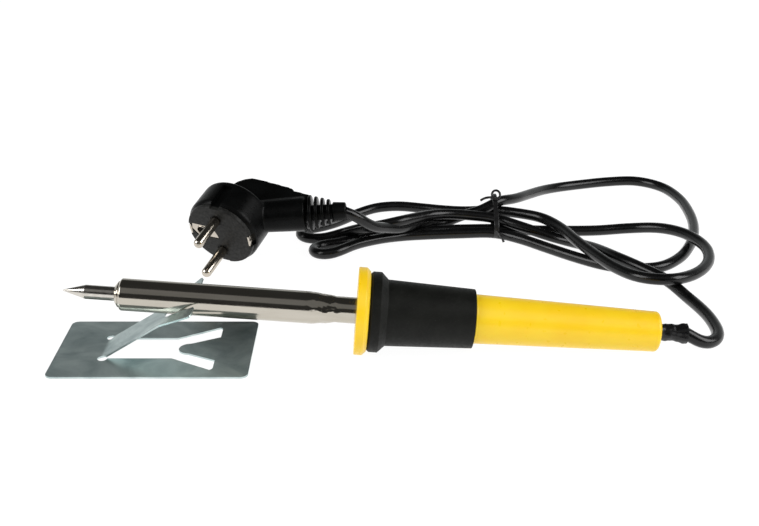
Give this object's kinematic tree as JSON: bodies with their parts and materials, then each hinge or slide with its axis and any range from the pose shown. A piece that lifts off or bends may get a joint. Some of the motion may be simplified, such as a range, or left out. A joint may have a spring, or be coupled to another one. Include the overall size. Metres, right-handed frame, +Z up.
{
  "type": "soldering iron",
  "caption": "Mains soldering iron with a pencil bit, finger guard and ribbed-plug cord tied in a hank, resting on a bent sheet stand.",
  "frame": {"origin": "on the table, under the centre of the iron and its stand", "axes": "+Z up, -X along the iron towards its tip, +Y towards the hank of cord"},
  "size_m": [0.3042, 0.2381, 0.0406],
  "materials": {
    "nickel": "polished nickel plate",
    "stainless": "satin steel",
    "zinc_sheet": "bright zinc plate",
    "mica": "mica sheet",
    "ceramic": "fired ceramic",
    "heater_wire": "oxidised heating wire",
    "glass_fibre": "braided glass fibre",
    "yellow_plastic": "glossy moulding",
    "black_grip": "fine-grained matte moulding",
    "brass": "tinned brass",
    "brown_core": "core insulation",
    "blue_core": "core insulation",
    "earth_core": "core insulation",
    "white_plastic": "moulded nylon",
    "cord_pvc": "glossy jacket",
    "plug_plastic": "soft moulding",
    "plug_face_plastic": "rigid moulding",
    "contact_nickel": "nickel-plated brass"
  },
  "bodies": {
    "base": {"stand": "zinc_sheet", "cord_hank": "cord_pvc", "twist_tie": "plug_plastic", "plug_body": "plug_plastic", "plug_face": "plug_face_plastic", "plug_pins": "contact_nickel", "plug_earth_clips": "contact_nickel", "plug_earth_socket": "contact_nickel"},
    "iron": {"barrel": "nickel", "bit_holder": "stainless", "inner_mica": "mica", "heating_coil": "heater_wire", "outer_mica": "mica", "rear_bush": "ceramic", "live_lead": "stainless", "neutral_lead": "stainless", "lead_sleeves": "glass_fibre", "mount_flange": "stainless", "finger_guard": "yellow_plastic", "guard_screws": "stainless", "handle": "yellow_plastic", "grip_sleeve": "black_grip", "earth_tag": "brass", "crimp_splices": "brass", "live_core": "brown_core", "neutral_core": "blue_core", "earth_core": "earth_core", "cord_clamp": "white_plastic", "cord_end": "cord_pvc", "strain_sleeve": "cord_pvc", "cord_lead": "cord_pvc"},
    "bit": {"bit": "nickel"},
    "bit_screw": {"bit_screw": "stainless"}
  },
  "joints": [
    {"name": "iron_lift", "type": "slide", "parent": "base", "child": "iron", "axis": [0, 0, 1], "range_m": [0, 0.04]},
    {"name": "bit_pull", "type": "slide", "parent": "iron", "child": "bit", "axis": [-0.997, 0, 0.0769], "range_m": [0, 0.045]},
    {"name": "bit_screw_turn", "type": "hinge", "parent": "iron", "child": "bit_screw", "pos_m": [-0.09293, 0, 0.02552], "axis": [0, 1, 0], "range_deg": [0, 720]}
  ]
}
